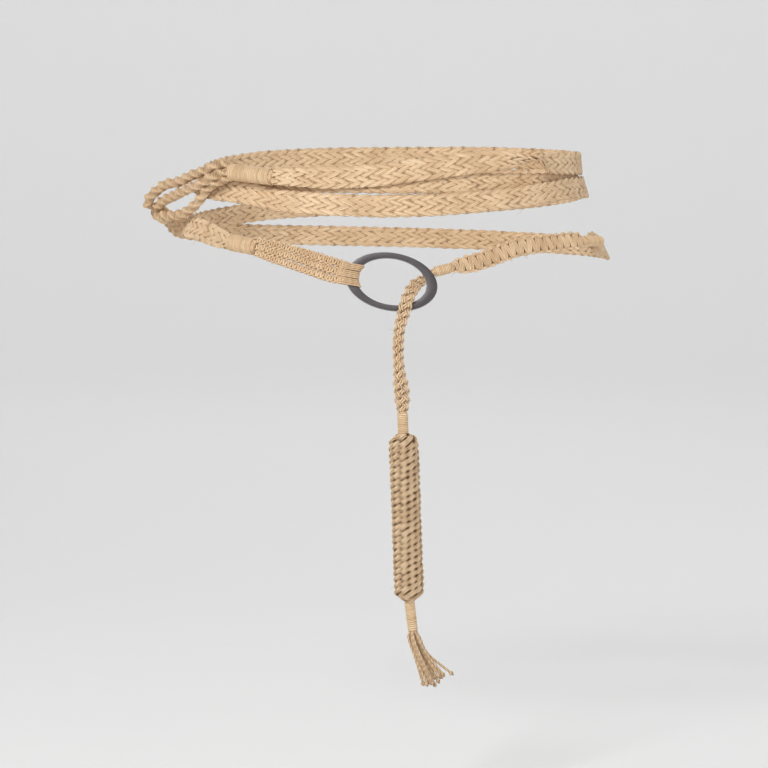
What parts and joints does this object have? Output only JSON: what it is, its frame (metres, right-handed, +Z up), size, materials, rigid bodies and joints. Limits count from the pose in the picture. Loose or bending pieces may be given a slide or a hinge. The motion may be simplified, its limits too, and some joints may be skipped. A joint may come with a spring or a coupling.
{
  "type": "rope wrap belt",
  "caption": "Long jute rope belt worn in three waist turns and one hip turn, with flat braid, knotted sennits, bound joints, a flat metal ring and a hanging tail with a knotted bar and tassel.",
  "frame": {"origin": "middle of the waist hollow, at the height of the waist turns", "axes": "+Z up, -Y towards the front of the belt, where the ring hangs, +X towards the wearer's left side"},
  "size_m": [0.3263, 0.2444, 0.3604],
  "materials": {
    "jute": "braided and knotted natural jute cord, matt, light straw colour",
    "binding": "close wound natural jute thread, matt",
    "metal": "satin gunmetal"
  },
  "bodies": {
    "root": {"strap_lower": "jute", "strap_middle": "jute", "strap_upper": "jute", "strap_hip": "jute", "sennit_top": "jute", "sennit_middle": "jute", "sennit_bottom": "jute", "wide_sennit": "jute", "spiral_sennit_outer": "jute", "spiral_sennit_middle": "jute", "spiral_sennit_inner": "jute", "tail_braid": "jute", "knotted_bar": "jute", "tassel": "jute", "whipping_left": "binding", "whipping_upper": "binding", "whipping_back": "binding", "whipping_right": "binding", "whipping_buckle": "binding", "whipping_tail_top": "binding", "whipping_tail_bottom": "binding", "buckle_ring": "metal"}
  },
  "joints": []
}
